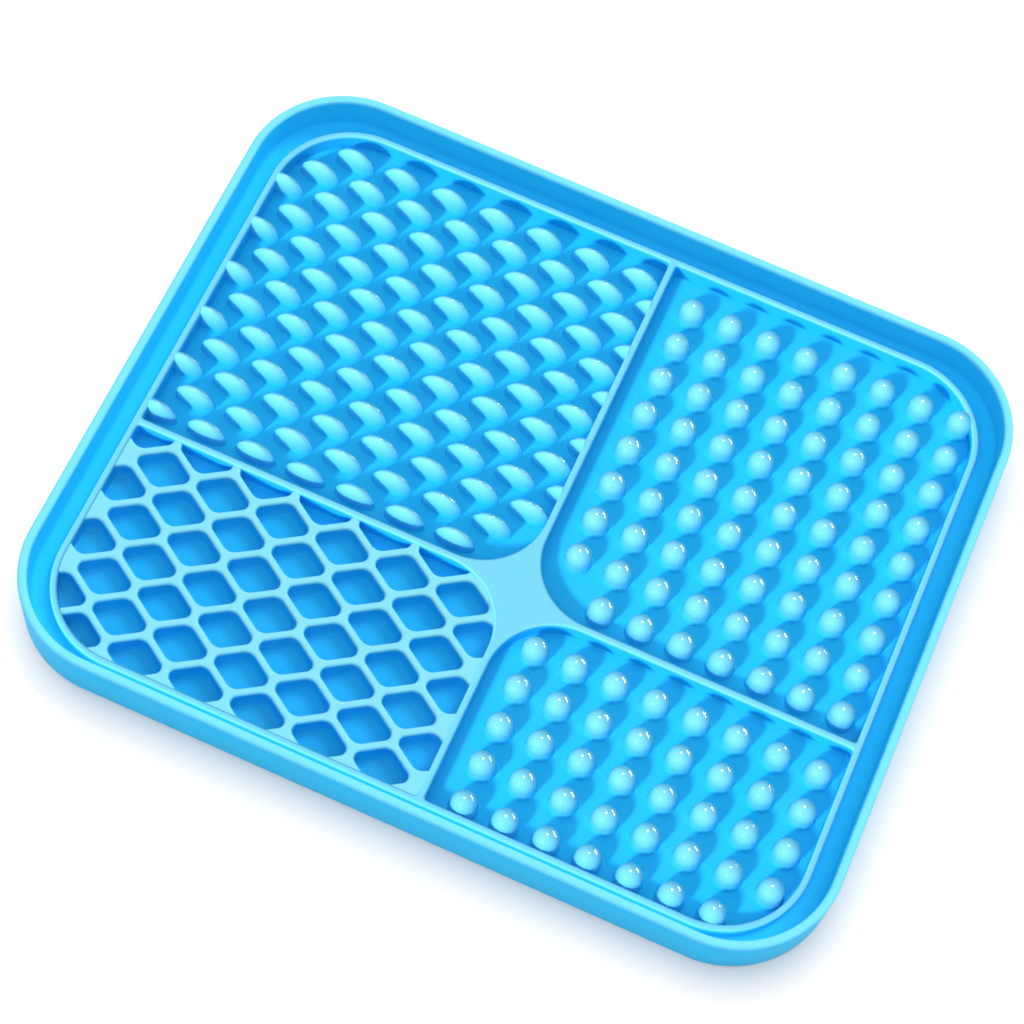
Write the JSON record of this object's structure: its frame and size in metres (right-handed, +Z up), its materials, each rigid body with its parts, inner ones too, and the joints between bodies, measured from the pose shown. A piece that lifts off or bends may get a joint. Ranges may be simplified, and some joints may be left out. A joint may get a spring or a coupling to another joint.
{
  "type": "lick mat",
  "caption": "Rectangular silicone lick mat with a raised rim, a drip channel and four fields of blades, pegs and diamond netting around a flat star plate.",
  "frame": {"origin": "middle of the flat underside, on the table", "axes": "+X along the long sides with the peg fields at +X, +Y toward the blade and large peg fields at the back, +Z up out of the tray"},
  "size_m": [0.2, 0.166, 0.0145],
  "materials": {
    "silicone": "satin moulded silicone, sky blue"
  },
  "bodies": {
    "root": {"outer_rim": "silicone", "drip_channel": "silicone", "floor_sheet": "silicone", "inner_frame": "silicone", "center_star": "silicone", "back_divider": "silicone", "front_divider": "silicone", "left_divider": "silicone", "right_divider": "silicone", "blades": "silicone", "large_peg_group": "silicone", "small_peg_group": "silicone", "diamond_net": "silicone"}
  },
  "joints": []
}
